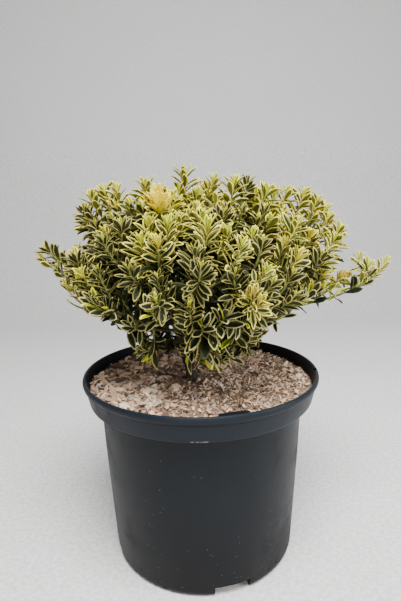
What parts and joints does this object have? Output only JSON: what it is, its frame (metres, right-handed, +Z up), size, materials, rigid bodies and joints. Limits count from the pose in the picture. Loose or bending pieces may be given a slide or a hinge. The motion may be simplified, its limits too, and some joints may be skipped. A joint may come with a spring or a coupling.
{
  "type": "potted variegated euonymus shrub",
  "caption": "Small dense variegated evergreen shrub with upright narrow-leaved shoots on a short stem, in a round plastic nursery pot topped with bark mulch.",
  "frame": {"origin": "centre of the pot's flat underside, on the level that it stands on", "axes": "+Z up, -Y towards the picture's side, +X to the right of the picture"},
  "size_m": [0.3465, 0.2368, 0.3671],
  "materials": {
    "pot_plastic": "dark blue-grey moulded plastic, satin to matt, dusty",
    "bark_mulch": "dry chipped bark, tan to brown and grey",
    "bark": "rough reddish brown bark",
    "leaves": "leathery leaves, dark green with cream-yellow margins"
  },
  "bodies": {
    "root": {"pot": "pot_plastic", "potting_mix": "bark_mulch", "trunk": "bark", "bough_top": "bark", "bough_top_left": "bark", "bough_top_right": "bark", "bough_upper_left": "bark", "bough_upper_right": "bark", "bough_left_arm": "bark", "bough_right": "bark", "bough_right_spray": "bark", "bough_front_left": "bark", "bough_front_centre": "bark", "bough_front_right": "bark", "bough_right_front": "bark", "bough_front_low": "bark", "bough_front_left_low": "bark", "bough_front_right_low": "bark", "bough_left_low": "bark", "bough_right_low": "bark", "bough_back_left": "bark", "bough_back_upper_left": "bark", "bough_back_upper_right": "bark", "bough_back_right": "bark", "bough_back_centre": "bark", "bough_back_left_low": "bark", "bough_back_right_low": "bark", "foliage_top": "leaves", "foliage_top_left": "leaves", "foliage_top_right": "leaves", "foliage_upper_left": "leaves", "foliage_upper_right": "leaves", "foliage_left_arm": "leaves", "foliage_right": "leaves", "foliage_right_spray": "leaves", "foliage_front_left": "leaves", "foliage_front_centre": "leaves", "foliage_front_right": "leaves", "foliage_right_front": "leaves", "foliage_front_low": "leaves", "foliage_front_left_low": "leaves", "foliage_front_right_low": "leaves", "foliage_left_low": "leaves", "foliage_right_low": "leaves", "foliage_back_left": "leaves", "foliage_back_upper_left": "leaves", "foliage_back_upper_right": "leaves", "foliage_back_right": "leaves", "foliage_back_centre": "leaves", "foliage_back_left_low": "leaves", "foliage_back_right_low": "leaves"}
  },
  "joints": []
}
